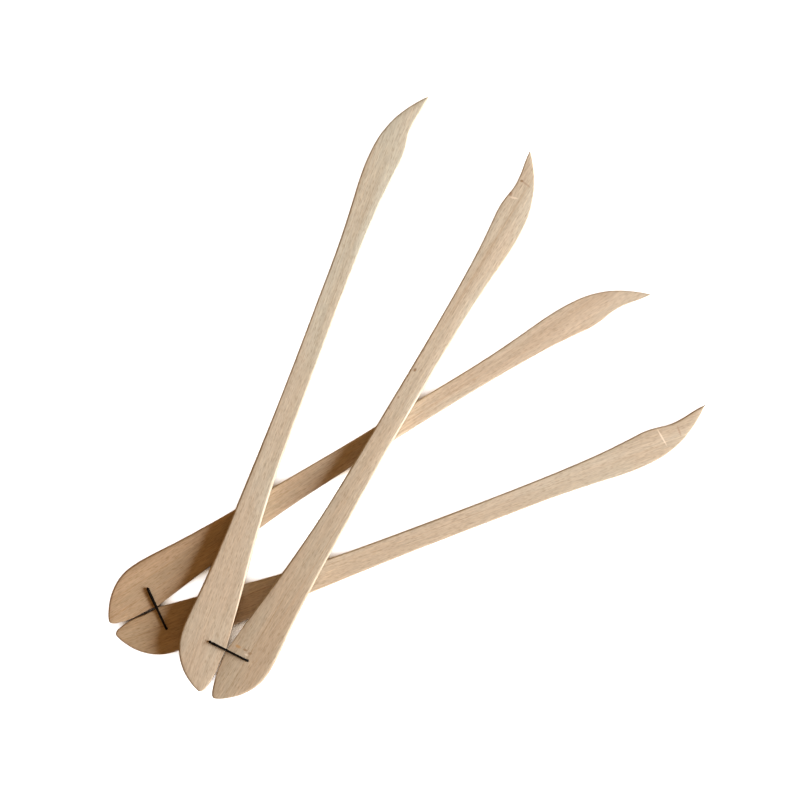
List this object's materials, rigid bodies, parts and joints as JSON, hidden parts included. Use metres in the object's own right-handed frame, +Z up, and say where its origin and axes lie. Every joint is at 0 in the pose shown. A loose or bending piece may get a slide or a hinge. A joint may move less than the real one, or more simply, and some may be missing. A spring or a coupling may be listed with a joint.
{
  "type": "clay modeling tool",
  "caption": "Pairs of flat hooked beech blades, each laced near its wide ends with black elastic cord so it rocks on a corner and pinches at its pointed tips; one pair lies across the other.",
  "frame": {"origin": "middle of the whole object's footprint, on the surface it lies on", "axes": "+Z up, out of the blades' faces; both pairs point away from the wide ends at -X -Y, the rear pair about 26 degrees and the front pair about 64 degrees from +X towards +Y"},
  "size_m": [0.264, 0.266, 0.0143],
  "materials": {
    "beech": "fine sanded bare beech, arrises eased by hand",
    "elastic_cord": "matt black braided elastic"
  },
  "bodies": {
    "rear_left": {"rear_blade_left": "beech", "rear_cord_left": "elastic_cord"},
    "rear_right": {"rear_blade_right": "beech", "rear_cord_right": "elastic_cord", "rear_cord_tie": "elastic_cord"},
    "front_left": {"front_blade_left": "beech", "front_cord_left": "elastic_cord"},
    "front_right": {"front_blade_right": "beech", "front_cord_right": "elastic_cord", "front_cord_tie": "elastic_cord"}
  },
  "joints": [
    {"name": "rear_pinch", "type": "hinge", "parent": "rear_left", "child": "rear_right", "pos_m": [-0.11073, -0.09304, 0], "axis": [0, 0, 1], "range_deg": [0, 11.9], "stiffness_Nm_per_rad": 0.1, "springref_deg": -5.73},
    {"name": "front_lift", "type": "slide", "parent": "rear_left", "child": "front_left", "axis": [0, 0, 1], "range_m": [0, 0.08]},
    {"name": "front_pinch", "type": "hinge", "parent": "front_left", "child": "front_right", "pos_m": [-0.07945, -0.11154, 0.00766], "axis": [-0.0235, 0.0395, 0.9989], "range_deg": [0, 11.1], "stiffness_Nm_per_rad": 0.1, "springref_deg": -5.73}
  ]
}
